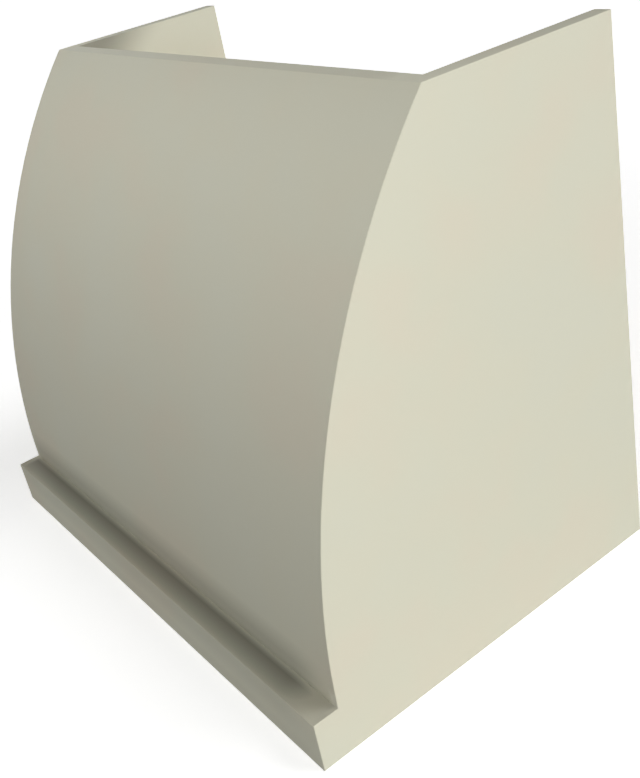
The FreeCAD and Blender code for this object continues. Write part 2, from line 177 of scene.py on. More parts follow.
# %% [markdown]
# ## Painted shade in the corners
#
# On the real cover two corners are deeper in tone than soft lamps make them: the ledge before
# the bow, and the inside, where the bow meets the left-hand panel. Here that shade is painted
# into the paint's colour, in the right-hand corner too, and its tone was matched. How much
# lies at a point is worked out from the shape, not painted by hand.
#
# Outside it follows the distance from the line where the bow springs from the ledge. The
# painted shade is darkest on the ledge, some 9 mm before that line, and light on the foot of
# the bow. Two curves give its share from 0 to 1 against that distance in millimetres, one for
# level faces and one for the others. A level face is found by its normal, which points up. At
# the ends of the ledge the painted shade fades out, over a longer way at the right-hand end.

# %% Painted shade before the bow
# Colour of the painted shade that darkens the paint in corners and on level faces.
SHADE_COLOUR = "#5F5E54"
NEAR_FOOT = 60 * MM
ON_LEDGE = ((0, 0.30), (5, 0.62), (9, 0.80), (14, 0.73), (20, 0.65), (28, 0.52), (38, 0.27))
ON_BOW = ((0, 0.24), (5, 0.29), (22, 0.31), (30, 0.24), (40, 0.15), (60, 0.0))
# How far in from each end of the ledge the painted shade fades.
SHADE_FADE_LEFT, SHADE_FADE_RIGHT = 20 * MM, 90 * MM
BOW_FOOT = (0.0, -0.5715, 0.0762)
HALF_WIDTH = 0.4572
LEVEL_NORMAL = (0.80, 0.95)


def level_face(tree):
    """1 on a face whose normal points up, 0 on a steep one."""
    normal = add(tree, "TexCoord").outputs["Normal"]
    upward = add(tree, "SeparateXYZ", {"Vector": normal}).outputs["Z"]
    return add(tree, "MapRange", {
        "Value": upward, "From Min": LEVEL_NORMAL[0], "From Max": LEVEL_NORMAL[1],
    }).outputs["Result"]


def foot_shade(tree, across, profile, level):
    """Painted shade on the ledge before the bow and on the foot of the bow."""
    to_foot = add(tree, "VectorMath", {0: profile, 1: BOW_FOOT}, operation="DISTANCE")
    reach = add(tree, "Math", {0: to_foot.outputs["Value"], 1: NEAR_FOOT}, operation="DIVIDE")
    ledge, bow = (
        add(tree, "ValToRGB", {"Fac": reach.outputs[0]}, stops=[
            (distance * MM / NEAR_FOOT, [share, share, share, 1.0]) for distance, share in curve
        ]).outputs["Color"]
        for curve in (ON_LEDGE, ON_BOW)
    )
    painted_shade = add(tree, "Mix", {0: level, 2: bow, 3: ledge}).outputs[0]
    # The painted shade fades out towards both ends of the ledge.
    for end, fades_over in ((-HALF_WIDTH, SHADE_FADE_LEFT), (HALF_WIDTH, -SHADE_FADE_RIGHT)):
        inward = add(tree, "MapRange", {
            "Value": across, "From Min": end, "From Max": end + fades_over,
        }, interpolation_type="SMOOTHSTEP")
        painted_shade = add(tree, "Math", {
            0: painted_shade, 1: inward.outputs["Result"],
        }, operation="MULTIPLY").outputs[0]
    return painted_shade


print("most dust on the ledge:", max(share for distance, share in ON_LEDGE))

# %% [markdown]
# Inside it follows the distance from the seam between the bow's back and a side panel: full
# painted shade within 30 mm of it, none from 124 mm on. That distance comes from two others,
# how far a point is behind the bow's back and how far it is in from the panel's face. The bow
# is part of a cylinder, so the first is a radius less the distance to the cylinder's axis. A
# lower limit of 0.3 m keeps this shade off the sprayed foot behind the lip. The limit between
# a panel's inside and outside is set 0.7 mm into its wood, so that the inner face itself
# counts as inside.
#
# Every level face gets an even painted shade as well, so that it comes out darker than the
# lamps make it, a little more on the ledge than on the top edges. Where these meet, the
# strongest counts.

# %% Painted shade inside and on level faces
BOW_AXIS = (0.0, 0.4436, 0.0762)
BOW_BACK = 0.9960
INNER_FACE = 0.4325
HEIGHT = 0.762
# Share of painted shade in the inside corners, where it is full and where it ends.
SEAM_SHADE, SEAM_DARK, SEAM_UNSHADED = 0.68, 30 * MM, 124 * MM
SEAM_BOTTOM = 0.3
# Share of painted shade on level faces: on the ledge and on the top edges.
LEDGE_SHADE, TOP_SHADE = 0.30, 0.15


def seam_shade(tree, apart, profile):
    """Painted shade in the corner between the bow's back and a side panel."""
    to_axis = add(tree, "VectorMath", {0: profile, 1: BOW_AXIS}, operation="DISTANCE")
    behind = add(tree, "Math", {
        0: BOW_BACK, 1: to_axis.outputs["Value"],
    }, operation="SUBTRACT").outputs[0]
    across = add(tree, "Math", {0: apart["X"]}, operation="ABSOLUTE").outputs[0]
    beside = add(tree, "Math", {0: INNER_FACE, 1: across}, operation="SUBTRACT").outputs[0]
    to_seam = add(tree, "VectorMath", {
        0: add(tree, "CombineXYZ", {"X": behind, "Y": beside}).outputs[0],
    }, operation="LENGTH")
    painted_shade = add(tree, "MapRange", {
        "Value": to_seam.outputs["Value"], "From Min": SEAM_UNSHADED, "From Max": SEAM_DARK,
        "To Max": SEAM_SHADE,
    }, interpolation_type="SMOOTHSTEP").outputs["Result"]
    for depth, least in ((beside, 0.0), (behind, -MM), (apart["Z"], SEAM_BOTTOM)):
        inside = add(tree, "Math", {0: depth, 1: least}, operation="GREATER_THAN")
        painted_shade = add(tree, "Math", {
            0: painted_shade, 1: inside.outputs[0],
        }, operation="MULTIPLY").outputs[0]
    return painted_shade


def corner_shade(tree, place):
    """How much painted shade darkens the paint at a point, from 0 to 1."""
    apart = add(tree, "SeparateXYZ", {"Vector": place}).outputs
    profile = add(tree, "CombineXYZ", {"Y": apart["Y"], "Z": apart["Z"]}).outputs[0]
    level = level_face(tree)
    level_shade = add(tree, "MapRange", {
        "Value": apart["Z"], "From Min": BOW_FOOT[2], "From Max": HEIGHT,
        "To Min": LEDGE_SHADE, "To Max": TOP_SHADE,
    })
    level_shade = add(tree, "Math", {0: level_shade.outputs["Result"], 1: level}, operation="MULTIPLY")
    most = level_shade.outputs[0]
    for painted_shade in (foot_shade(tree, apart["X"], profile, level), seam_shade(tree, apart, profile)):
        most = add(tree, "Math", {0: most, 1: painted_shade}, operation="MAXIMUM").outputs[0]
    return most


print("film on the ledge and on top:", LEDGE_SHADE, TOP_SHADE)

# %% [markdown]
# ## Sprayed satin paint
#
# The outside is sprayed with a satin cabinet paint, a pale grey-green that leans to cream. A
# spray gun leaves no brush marks. What the eye gets is an even colour that drifts a little
# over a hand's width, a soft sheen that is not quite the same everywhere, and orange peel,
# the shallow dimples of drops that flowed together. Real orange peel is 2 to 3 mm from dimple
# to dimple, less than two pixels here, so it is drawn at 7 mm and kept very shallow.
#
# Several materials need this paint, because it also drifts on to bare wood inside. So the
# function adds the paint's nodes to any material and hands back its colour, roughness and
# height.

# %% The paint film
PAINT_COOL, PAINT_COLOUR, PAINT_WARM = "#D5D4C1", "#D6D4C0", "#D8D3BF"
COOL_AT, WARM_AT = 0.35, 0.65
SATIN, SATIN_OVER = (0.60, 0.67), (0.3, 0.7)
DRIFT = 180 * MM
ORANGE_PEEL, PEEL_DEPTH = 7 * MM, 0.03 * MM


def paint_film(tree, place):
    """Colour, roughness and height of the sprayed film; its colour carries the painted shade."""
    drift = add(tree, "TexNoise", {"Vector": place, "Scale": 1 / DRIFT, "Detail": 2.0})
    colour = add(tree, "ValToRGB", {"Fac": drift.outputs["Fac"]}, stops=[
        (COOL_AT, linear(PAINT_COOL)), (0.5, linear(PAINT_COLOUR)), (WARM_AT, linear(PAINT_WARM)),
    ])
    # Painted shade: the paint's colour is darkened in corners and on level faces.
    with_shade = add(tree, "Mix", {
        0: corner_shade(tree, place), 6: colour.outputs["Color"], 7: linear(SHADE_COLOUR),
    }, data_type="RGBA")
    rough = add(tree, "MapRange", {
        "Value": drift.outputs["Fac"], "From Min": SATIN_OVER[0], "From Max": SATIN_OVER[1],
        "To Min": SATIN[0], "To Max": SATIN[1],
    })
    peel = add(tree, "TexNoise", {"Vector": place, "Scale": 1 / ORANGE_PEEL, "Detail": 1.0})
    return with_shade.outputs[2], rough.outputs["Result"], peel.outputs["Fac"]


satin_paint, tree, place = new_material("sprayed satin paint")
surface(tree, *paint_film(tree, place), PEEL_DEPTH)
print("made:", satin_paint.name)

# %% [markdown]
# ## Where the paint ends inside
#
# The gun is pointed at the outside and down into the open top. Inside, the film ends in a
# cloudy edge where the overspray thins out, and below it the wood is bare. That edge is a
# height: paint above it, wood below, and two noises that make it wander and speckle. A noise
# is a half on average, so the edge is set higher by half of what both can add. The lowest
# 21 mm are sprayed as well, because the cook sees them from below. Most of the inside is
# hidden in the picture, so where the paint ends is a guess at usual work.

# %% The mask for overspray
SPRAY_EDGE, SPRAY_FADE = 0.585, 0.05
SPRAYED_FOOT = 0.021
WANDER, WANDER_BY = 120 * MM, 0.10
SPECKLE, SPECKLE_BY = 6 * MM, 0.06
SPRAY_START = SPRAY_EDGE + (WANDER_BY + SPECKLE_BY) / 2


def overspray(tree, place):
    """1 where the paint covers the wood, 0 where the wood is bare."""
    height = add(tree, "SeparateXYZ", {"Vector": place}).outputs["Z"]
    moved = height
    for size, detail, by in ((WANDER, 3.0, WANDER_BY), (SPECKLE, 2.0, SPECKLE_BY)):
        noise = add(tree, "TexNoise", {"Vector": place, "Scale": 1 / size, "Detail": detail})
        moved = add(tree, "Math", {
            0: noise.outputs["Fac"], 1: by, 2: moved,
        }, operation="MULTIPLY_ADD").outputs[0]
    above = add(tree, "MapRange", {
        "Value": moved, "From Min": SPRAY_START, "From Max": SPRAY_START + SPRAY_FADE,
    }, interpolation_type="SMOOTHSTEP")
    foot = add(tree, "Math", {0: height, 1: SPRAYED_FOOT}, operation="LESS_THAN")
    return add(tree, "Math", {
        0: above.outputs["Result"], 1: foot.outputs[0],
    }, operation="MAXIMUM").outputs[0]


def mixed(tree, mask, below, above):
    """Each of the paint's colour, roughness and height, laid over the wood's by the mask."""
    colour = add(tree, "Mix", {0: mask, 6: below[0], 7: above[0]}, data_type="RGBA")
    values = [
        add(tree, "Mix", {0: mask, 2: b, 3: a}).outputs[0] for b, a in zip(below[1:], above[1:])
    ]
    return [colour.outputs[2]] + values


print("paint ends inside at about", SPRAY_EDGE, "m")

# %% [markdown]
# ## Solid wood: planed poplar
#
# The stretchers, the cleat, the glue blocks and the frame for the hood are poplar, planed and
# left bare: cream, with olive and brown streaks. A board is cut from a round trunk, so its
# figure is a set of rings seen in a slice. The nodes build the trunk, not the picture: the
# distance from a pith that lies beside the board, bent a little by slow noise along the
# grain, is cut into growth rings of 5 mm. Faces then show long streaks and ends show arcs,
# as on a real board. Each board's own random number moves the noise, so no two are alike.
# Fibres are 1 mm or less and are drawn 2.5 mm wide so that they show.

# %% Trunk and fibres
AXES = {"x": 0, "y": 1, "z": 2}
FIBRE, FIBRE_LENGTH = 2.5 * MM, 90 * MM
PITH = [0.11, 0.07, 0.09]
TRUNK_TAPER = 0.06
BEND_ALONG, BEND_ACROSS, BEND_BY = 1.6, 9.0, 0.05
BOARD_SHIFT = 3.0


def grain_scale(along, slow, across):
    """A scale for each axis: slow along the grain, quick across it."""
    return [slow if AXES[along] == axis else across for axis in range(3)]


def board_noise(tree, place, board, scale):
    """A noise that is stretched along the grain and different on each board."""
    stretched = add(tree, "Mapping", {"Vector": place, "Scale": scale}).outputs["Vector"]
    return add(tree, "TexNoise", {
        "Vector": stretched, "W": board, "Scale": 1.0, "Detail": 2.0,
    }, noise_dimensions="4D").outputs["Fac"]


def place_in_ring(tree, place, along, bend, ring):
    """How far a point is through its growth ring, from 0 to 1."""
    trunk = add(tree, "Mapping", {
        "Vector": place, "Location": PITH, "Scale": grain_scale(along, TRUNK_TAPER, 1.0),
    })
    radius = add(tree, "VectorMath", {0: trunk.outputs["Vector"]}, operation="LENGTH")
    moved = add(tree, "Math", {
        0: bend, 1: BEND_BY, 2: radius.outputs["Value"],
    }, operation="MULTIPLY_ADD")
    rings = add(tree, "Math", {0: moved.outputs[0], 1: ring}, operation="DIVIDE")
    return add(tree, "Math", {0: rings.outputs[0]}, operation="FRACT").outputs[0]


print("fibres drawn", round(FIBRE / MM, 1), "mm wide")

# %% [markdown]
# The colour is laid on in three steps: slow streaks from light to middle, then the dark late
# wood that ends each ring, then the fibres. The fibres also carry the roughness and the bump.

# %% Bare wood
STREAK_LIGHT, STREAK_MIDDLE = 0.38, 0.66
LATE_FROM, LATE_WOOD = 0.55, 0.45
FIBRE_FROM, FIBRE_TO, FIBRE_SHADE = 0.35, 0.75, 0.35
WOOD_ROUGH = (0.52, 0.72)
WOOD_DEPTH = 0.08 * MM
POPLAR_RING = 5 * MM
POPLAR = ("#DACBA4", "#BDB184", "#A58E5F")


def solid_wood(tree, place, along, ring, light, middle, dark):
    """Colour, roughness and height of bare wood whose grain runs along one axis."""
    number = add(tree, "ObjectInfo").outputs["Random"]
    board = add(tree, "Math", {0: number, 1: BOARD_SHIFT}, operation="MULTIPLY").outputs[0]
    bend = board_noise(tree, place, board, grain_scale(along, BEND_ALONG, BEND_ACROSS))
    fibre = board_noise(tree, place, board, grain_scale(along, 1 / FIBRE_LENGTH, 1 / FIBRE))
    streak = add(tree, "ValToRGB", {"Fac": bend}, stops=[
        (STREAK_LIGHT, linear(light)), (STREAK_MIDDLE, linear(middle)),
    ])
    late = add(tree, "MapRange", {
        "Value": place_in_ring(tree, place, along, bend, ring),
        "From Min": LATE_FROM, "From Max": 1.0, "To Max": LATE_WOOD,
    })
    ringed = add(tree, "Mix", {
        0: late.outputs["Result"], 6: streak.outputs["Color"], 7: linear(dark),
    }, data_type="RGBA")
    shade = add(tree, "MapRange", {
        "Value": fibre, "From Min": FIBRE_FROM, "From Max": FIBRE_TO, "To Max": FIBRE_SHADE,
    })
    figured = add(tree, "Mix", {
        0: shade.outputs["Result"], 6: ringed.outputs[2], 7: linear(dark),
    }, data_type="RGBA")
    rough = add(tree, "MapRange", {
        "Value": fibre, "To Min": WOOD_ROUGH[0], "To Max": WOOD_ROUGH[1],
    })
    return [figured.outputs[2], rough.outputs["Result"], fibre]


poplar = {}
for along in AXES:
    poplar[along], tree, place = new_material("planed poplar, grain along " + along)
    wood = solid_wood(tree, place, along, POPLAR_RING, *POPLAR)
    finish = mixed(tree, overspray(tree, place), wood, paint_film(tree, place))
    surface(tree, *finish, WOOD_DEPTH)
print("made:", [m.name for m in poplar.values()])

# %% [markdown]
# ## Birch plywood
#
# The ribs and the rails that carry the cover on the wall are birch plywood. Its faces are
# peeled from the log, so they are pale with a broad, soft figure, and its edges show the
# plies: long grain is light, end grain is dark. Nineteen millimetres hold thirteen plies of
# 1.5 mm; they are drawn as seven, or they would blur into one tone. Which of the two a point
# shows follows from its normal: along the thickness it is a face, otherwise an edge.

# %% Birch plywood
PLY = 2.7 * MM
BIRCH_RING = 14 * MM
BIRCH = ("#E3CDA6", "#D6BA8C", "#BE9A68")
PLY_LIGHT, PLY_DARK = "#E0C79D", "#A9804F"
SQUARE_ON = 0.95


def plywood(tree, place, along, thickness):
    """Colour, roughness and height of birch plywood, with plies on its edges."""
    face = solid_wood(tree, place, along, BIRCH_RING, *BIRCH)
    axis = thickness.upper()
    normal = add(tree, "SeparateXYZ", {"Vector": add(tree, "TexCoord").outputs["Normal"]})
    facing = add(tree, "Math", {0: normal.outputs[axis]}, operation="ABSOLUTE")
    is_edge = add(tree, "Math", {0: facing.outputs[0], 1: SQUARE_ON}, operation="LESS_THAN")
    depth = add(tree, "SeparateXYZ", {"Vector": place}).outputs[axis]
    plies = add(tree, "Math", {0: depth, 1: PLY}, operation="DIVIDE")
    swing = add(tree, "Math", {0: plies.outputs[0], 1: 1.0}, operation="PINGPONG")
    lines = add(tree, "ValToRGB", {"Fac": swing.outputs[0]}, stops=[
        (0.40, linear(PLY_DARK)), (0.60, linear(PLY_LIGHT)),
    ])
    colour = add(tree, "Mix", {
        0: is_edge.outputs[0], 6: face[0], 7: lines.outputs["Color"],
    }, data_type="RGBA")
    return [colour.outputs[2], face[1], face[2]]


birch = {}
for use, along, thickness, sprayed in (
    ("rib", "z", "x", True), ("hanging rail", "x", "y", True), ("wall cleat", "x", "y", False),
):
    birch[use], tree, place = new_material("sanded birch plywood, " + use)
    wood = plywood(tree, place, along, thickness)
    if sprayed:
        wood = mixed(tree, overspray(tree, place), wood, paint_film(tree, place))
    surface(tree, *wood, WOOD_DEPTH)
print("made:", [m.name for m in birch.values()])

# %% [markdown]
# ## Bending plywood and the panels' bare inside
#
# Bending plywood has thick open-grained face veneers that all run one way, along the cylinder
# that it is bent round, so the hollow inside of the front shows long reddish streaks from side
# to side. Its top edge is filled and painted with the rest. The side panels are paint-grade
# maple: sprayed outside and on every edge, bare on the hidden part of the inner face.

# %% Bending plywood and side panels
BENDING_RING, BENDING_VENEER = 22 * MM, ("#C9A57B", "#B98F66", "#946A45")
MAPLE_RING, MAPLE = 9 * MM, ("#DFC8A4", "#D3B78E", "#BB9A70")

bending_ply, tree, place = new_material("bending plywood, painted top edge")
wood = solid_wood(tree, place, "x", BENDING_RING, *BENDING_VENEER)
finish = mixed(tree, overspray(tree, place), wood, paint_film(tree, place))
surface(tree, *finish, WOOD_DEPTH)

side_panel, tree, place = new_material("sprayed satin paint on maple, bare inside")
wood = solid_wood(tree, place, "z", MAPLE_RING, *MAPLE)
across = add(tree, "SeparateXYZ", {"Vector": place}).outputs["X"]
from_middle = add(tree, "Math", {0: across}, operation="ABSOLUTE").outputs[0]
outside = add(tree, "Math", {0: from_middle, 1: INNER_FACE}, operation="GREATER_THAN")
painted = add(tree, "Math", {
    0: outside.outputs[0], 1: overspray(tree, place),
}, operation="MAXIMUM")
finish = mixed(tree, painted.outputs[0], wood, paint_film(tree, place))
surface(tree, *finish, PEEL_DEPTH)
print("made:", bending_ply.name, "/", side_panel.name)

# %% [markdown]
# ## Zinc-plated screws
#
# The screws are plated steel: a cool light grey metal, smooth but cloudy, because the plating
# dulls unevenly in the air.

# %% Zinc-plated steel
ZINC_DULL, ZINC_BRIGHT = "#A9ACAE", "#C9CACA"
ZINC_CLOUD, ZINC_DEPTH = 2 * MM, 0.02 * MM
ZINC_ROUGH = (0.25, 0.45)

zinc, tree, place = new_material("zinc-plated steel, tumbled")
cloud = add(tree, "TexNoise", {"Vector": place, "Scale": 1 / ZINC_CLOUD, "Detail": 3.0})
tone = add(tree, "ValToRGB", {"Fac": cloud.outputs["Fac"]}, stops=[
    (0.3, linear(ZINC_DULL)), (0.7, linear(ZINC_BRIGHT)),
])
dull = add(tree, "MapRange", {
    "Value": cloud.outputs["Fac"], "To Min": ZINC_ROUGH[0], "To Max": ZINC_ROUGH[1],
})
bump = add(tree, "Bump", {"Height": cloud.outputs["Fac"], "Distance": ZINC_DEPTH})
shader = add(tree, "BsdfPrincipled", {
    "Base Color": tone.outputs["Color"], "Roughness": dull.outputs["Result"],
    "Normal": bump.outputs["Normal"], "Metallic": 1.0,
})
add(tree, "OutputMaterial", {"Surface": shader.outputs["BSDF"]})
print("made:", zinc.name)

# %% [markdown]
# ## A finish for each solid
#
# The frame's solids keep their shapes; only their material slots are filled here.

# %% Hand out the finishes
SCREW_GROUPS = (
    "insert_frame_lap_screws", "insert_frame_side_screws", "rib_screws", "foot_cleat_screws",
)
FINISHES = {
    "left_side_panel": side_panel, "right_side_panel": side_panel,
    "bowed_front_outer_layer": satin_paint,
    "lip_face_board": satin_paint, "lip_ledge_board": satin_paint,
    "bowed_front_middle_layer": bending_ply, "bowed_front_inner_layer": bending_ply,
    "left_rib": birch["rib"], "centre_rib": birch["rib"], "right_rib": birch["rib"],
    "hanging_rail": birch["hanging rail"],
    "wall_cleat": birch["wall cleat"], "lower_wall_rail": birch["wall cleat"],
    "top_stretcher": poplar["x"], "middle_stretcher": poplar["x"],
    "bow_foot_cleat": poplar["x"],
    "insert_frame_front_rail": poplar["x"], "insert_frame_rear_rail": poplar["x"],
    "insert_frame_left_rail": poplar["y"], "insert_frame_right_rail": poplar["y"],
    "corner_glue_blocks": poplar["z"],
    **dict.fromkeys(SCREW_GROUPS, zinc),
}
for name, solid in nodes.items():
    for slot in solid.material_slots:
        slot.material = FINISHES[name]
print("finishes handed out:", len(FINISHES))

# %% [markdown]
# ## Eased arrises
#
# Nobody leaves a painted board with a knife-sharp arris: the paint pulls away from it and it
# chips. The maker runs fine sandpaper along it before spraying, which leaves a round of a
# millimetre or so. It is about a pixel wide here, but it catches the light as a thin line, and
# without it an edge looks drawn.
#
# The solids keep sharp arrises, so each painted board with an arris on the outside gets a
# copy. The copy's triangles are first joined back to real faces, or the bevel would follow
# every one of them. Then the arrises to round get a bevel weight, and Blender's Bevel modifier
# does the rounding. Flush joints get no weight: filler and paint close them, so the front
# reads as one piece.

# %% Copy a board and round its arrises
ARRIS, ARRIS_STEPS = 1.2 * MM, 3
MERGE = 0.01 * MM
FLAT = math.radians(0.5)
CORNER = math.radians(30)


def eased_copy(name, is_arris):
    """A copy of a board, rounded along the edges that is_arris picks."""
    mesh = nodes[name].data.copy()
    if "custom_normal" in mesh.attributes:
        mesh.attributes.remove(mesh.attributes["custom_normal"])
    shape = bmesh.new()
    shape.from_mesh(mesh)
    bmesh.ops.remove_doubles(shape, verts=shape.verts, dist=MERGE)
    bmesh.ops.dissolve_limit(shape, angle_limit=FLAT, verts=shape.verts, edges=shape.edges)
    weight = shape.edges.layers.float.new("bevel_weight_edge")
    rounded = 0
    for face in shape.faces:
        face.smooth = True
    for edge in shape.edges:
        turns = edge.is_manifold and edge.calc_face_angle() > CORNER
        eased = turns and is_arris(*(vert.co for vert in edge.verts))
        edge[weight] = 1.0 if eased else 0.0
        edge.smooth = eased or not turns
        rounded += eased
    shape.to_mesh(mesh)
    shape.free()
    piece = in_scene(name + "_eased", mesh)
    bevel = piece.modifiers.new("eased arrises", "BEVEL")
    bevel.limit_method = "WEIGHT"
    bevel.width, bevel.segments = ARRIS, ARRIS_STEPS
    normals = piece.modifiers.new("flat faces stay flat", "WEIGHTED_NORMAL")
    normals.keep_sharp = True
    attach(piece, "root")
    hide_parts(name)
    print(piece.name, "has", rounded, "rounded edges")


print("rounds of", round(ARRIS / MM, 1), "mm")

# %% [markdown]
# Which edges count as arrises is a question about where both of their ends are. On a side
# panel it is every edge of the outer face except the one against the wall, then the short
# edges across its thickness at the lip and at the top of the bow, and the inner edges at the
# top and at the bottom. On the bow it is the top edge of the outer and of the inner layer, and
# on the lip the three long edges that a hand can reach.

# %% Which edges are arrises
FRONT, TOP_FRONT, LIP_BACK = -0.6096, -0.3048, -0.59055
LIP_HEIGHT = BOW_FOOT[2]
PANEL_INNER = 0.4318
BOW_BACK_EDGE = 20 * MM
NEAR = 0.1 * MM


def both_at(ends, axis, value):
    """True where both ends of an edge lie at a value along an axis (0, 1, 2 for x, y, z)."""
    return all(abs(end[axis] - value) < NEAR for end in ends)


def is_panel_arris(*ends):
    out = [(abs(end.x), end.y, end.z) for end in ends]
    if both_at(out, 0, HALF_WIDTH):
        return not both_at(out, 1, 0.0)
    if both_at(out, 0, PANEL_INNER):
        return both_at(out, 2, HEIGHT) or both_at(out, 2, 0.0)
    crosses = abs(out[0][0] - out[1][0]) > NEAR
    at_lip = both_at(out, 1, FRONT) and (both_at(out, 2, 0.0) or both_at(out, 2, LIP_HEIGHT))
    at_top = both_at(out, 1, TOP_FRONT) and both_at(out, 2, HEIGHT)
    return crosses and (at_lip or at_top)


def is_bow_front_arris(*ends):
    return both_at(ends, 2, HEIGHT) and both_at(ends, 1, TOP_FRONT)


def is_bow_back_arris(*ends):
    behind = max(abs(end.y - TOP_FRONT) for end in ends)
    level = both_at(ends, 2, HEIGHT) and both_at(ends, 1, ends[0].y)
    return level and behind > BOW_BACK_EDGE


def is_lip_arris(*ends):
    at_front = both_at(ends, 1, FRONT) and (both_at(ends, 2, 0.0) or both_at(ends, 2, LIP_HEIGHT))
    return at_front or (both_at(ends, 1, LIP_BACK) and both_at(ends, 2, 0.0))


for name, is_arris in (
    ("left_side_panel", is_panel_arris), ("right_side_panel", is_panel_arris),
    ("bowed_front_outer_layer", is_bow_front_arris),
    ("bowed_front_inner_layer", is_bow_back_arris), ("lip_face_board", is_lip_arris),
):
    eased_copy(name, is_arris)

# %% [markdown]
# ## Wood screws
#
# Twenty-six countersunk screws hold the frame and the ribs. The cook sees eight of their heads
# from below, and someone who hangs the cover sees the rest. The frame's solids stand for them
# with plain cones and rods, which say where each screw is, which way it points and how long
# it is. A real one has a cross recess, a smooth shank under the head and a thread with a
# sharp crest.
#
# To find a screw, its solid is taken as a loose part of the mesh. The ring of points
# furthest from its middle is one end, the ring furthest from that is the other, and the
# wider of the two is the head.

# %% Find the screws
def loose_parts(shape):
    """The points of each separate part of a mesh, in the order of its vertices."""
    seen, parts = set(), []
    for first in shape.verts:
        if first in seen:
            continue
        seen.add(first)
        todo, points = [first], []
        while todo:
            vert = todo.pop()
            points.append(vert.co.copy())
            for edge in vert.link_edges:
                other = edge.other_vert(vert)
                if other not in seen:
                    seen.add(other)
                    todo.append(other)
        parts.append(points)
    return parts


def furthest_ring(points, origin):
    """Middle and radius of the ring of points that is furthest from a place."""
    reach = max((point - origin).length for point in points)
    ring = [point for point in points if (point - origin).length > reach - NEAR]
    middle = sum(ring, Vector()) / len(ring)
    return middle, (ring[0] - middle).length


def find_screws(name):
    """Middle of the head and middle of the tip of each screw in a node."""
    shape = bmesh.new()
    shape.from_mesh(nodes[name].data)
    bmesh.ops.remove_doubles(shape, verts=shape.verts, dist=MERGE)
    found = []
    for points in loose_parts(shape):
        one, one_radius = furthest_ring(points, sum(points, Vector()) / len(points))
        other, other_radius = furthest_ring(points, one)
        found.append((one, other) if one_radius > other_radius else (other, one))
    shape.free()
    return found


for name in SCREW_GROUPS:
    screws = find_screws(name)
    print(name, len(screws), "of", round((screws[0][0] - screws[0][1]).length / MM, 2), "mm")

# %% [markdown]
# The body of a screw is turned, so it is a stack of rings with 24 points each, joined ring by
# ring. A ring may have any outline, which gives the recess: the stack starts at the bottom of
# a cross, comes up to the face as a wider cross, and goes on outward to the round rim. The
# corners of an arm lie 15 degrees off its middle line, so that they fall on points of the
# ring, which are 15 degrees apart.

# %% The body of a screw
SIDES = 24
HEAD, SHANK, CORE, CREST, POINT = (r * MM for r in (4.1, 1.75, 1.4, 2.1, 0.4))
NECK, TAPER = 3.0 * MM, 6.0 * MM
SMOOTH_SHARE, STEP_DOWN = 0.3, 1.0 * MM
RECESS_TOP, RECESS_BOTTOM, RECESS_DEPTH = 2.3 * MM, 0.9 * MM, 1.9 * MM
HALF_ARM = math.tan(math.radians(15))
NEVER_ZERO = 0.01


def cross_ring(arm):
    """Distances to the outline of a cross in each direction: an arm's end or its side."""
    distances = []
    for i in range(SIDES):
        angle = 2 * math.pi * i / SIDES
        wide, narrow = sorted((abs(math.cos(angle)), abs(math.sin(angle))), reverse=True)
        side = arm * HALF_ARM / max(narrow, NEVER_ZERO)
        distances.append(min(arm / wide, side))
    return distances


def add_body(shape, length):
    """Head, shank, core and tip: rings at depths below the face."""
    smooth_end = NECK + SMOOTH_SHARE * length
    profile = [
        (cross_ring(RECESS_BOTTOM), RECESS_DEPTH), (cross_ring(RECESS_TOP), 0.0),
        ([HEAD] * SIDES, 0.0), ([SHANK] * SIDES, NECK), ([SHANK] * SIDES, smooth_end),
        ([CORE] * SIDES, smooth_end + STEP_DOWN), ([CORE] * SIDES, length - TAPER),
        ([POINT] * SIDES, length),
    ]
    rings = []
    for distances, depth in profile:
        ring = []
        for i, distance in enumerate(distances):
            angle = 2 * math.pi * i / SIDES
            ring.append(shape.verts.new(
                (distance * math.cos(angle), distance * math.sin(angle), -depth)
            ))
        rings.append(ring)
    for upper, lower in zip(rings, rings[1:]):
        for i in range(SIDES):
            following = (i + 1) % SIDES
            shape.faces.new((upper[i], upper[following], lower[following], lower[i]))
    for ring, depth in ((rings[0], RECESS_DEPTH), (rings[-1], length)):
        middle = shape.verts.new((0, 0, -depth))
        for i in range(SIDES):
            shape.faces.new((ring[i], ring[(i + 1) % SIDES], middle))
    return smooth_end


print("recess", round(RECESS_TOP / MM, 1), "mm from its middle to the end of an arm")

# %% [markdown]
# The thread is a ridge with a three-sided section that climbs round the core, twelve steps to
# a turn. Its root is sunk a little into the core. It rises to its full height over the first
# turn, and towards the point it follows the core's taper and gets lower. A least rise keeps
# even its first section from being flat.

# %% Thread and whole screw
PITCH, STEPS = 1.9 * MM, 12
RIDGE = 0.42 * MM
SUNK, RISE_AT_POINT, LEAST_RISE = 0.1 * MM, 0.2 * MM, 0.02 * MM
SHORT_OF_POINT = 1.0 * MM


def add_thread(shape, start, length):
    """A right-hand ridge round the core, from the shank to just before the point."""
    count = int((length - SHORT_OF_POINT - start) / PITCH * STEPS)
    sections = []
    for step in range(count + 1):
        depth = start + PITCH * step / STEPS
        angle = -2 * math.pi * step / STEPS
        run_out = max(0.0, depth - (length - TAPER)) / TAPER
        crest = CREST + (POINT + RISE_AT_POINT - CREST) * run_out
        core = CORE + (POINT - CORE) * run_out - SUNK
        crest = core + (crest - core) * min(1.0, step / STEPS)
        sections.append([
            shape.verts.new((r * math.cos(angle), r * math.sin(angle), -depth - off))
            for r, off in ((core, -RIDGE), (crest + LEAST_RISE, 0.0), (core, RIDGE))
        ])
    for one, other in zip(sections, sections[1:]):
        for i in range(3):
            following = (i + 1) % 3
            shape.faces.new((one[i], one[following], other[following], other[i]))
    shape.faces.new(sections[0])
    shape.faces.new(sections[-1])


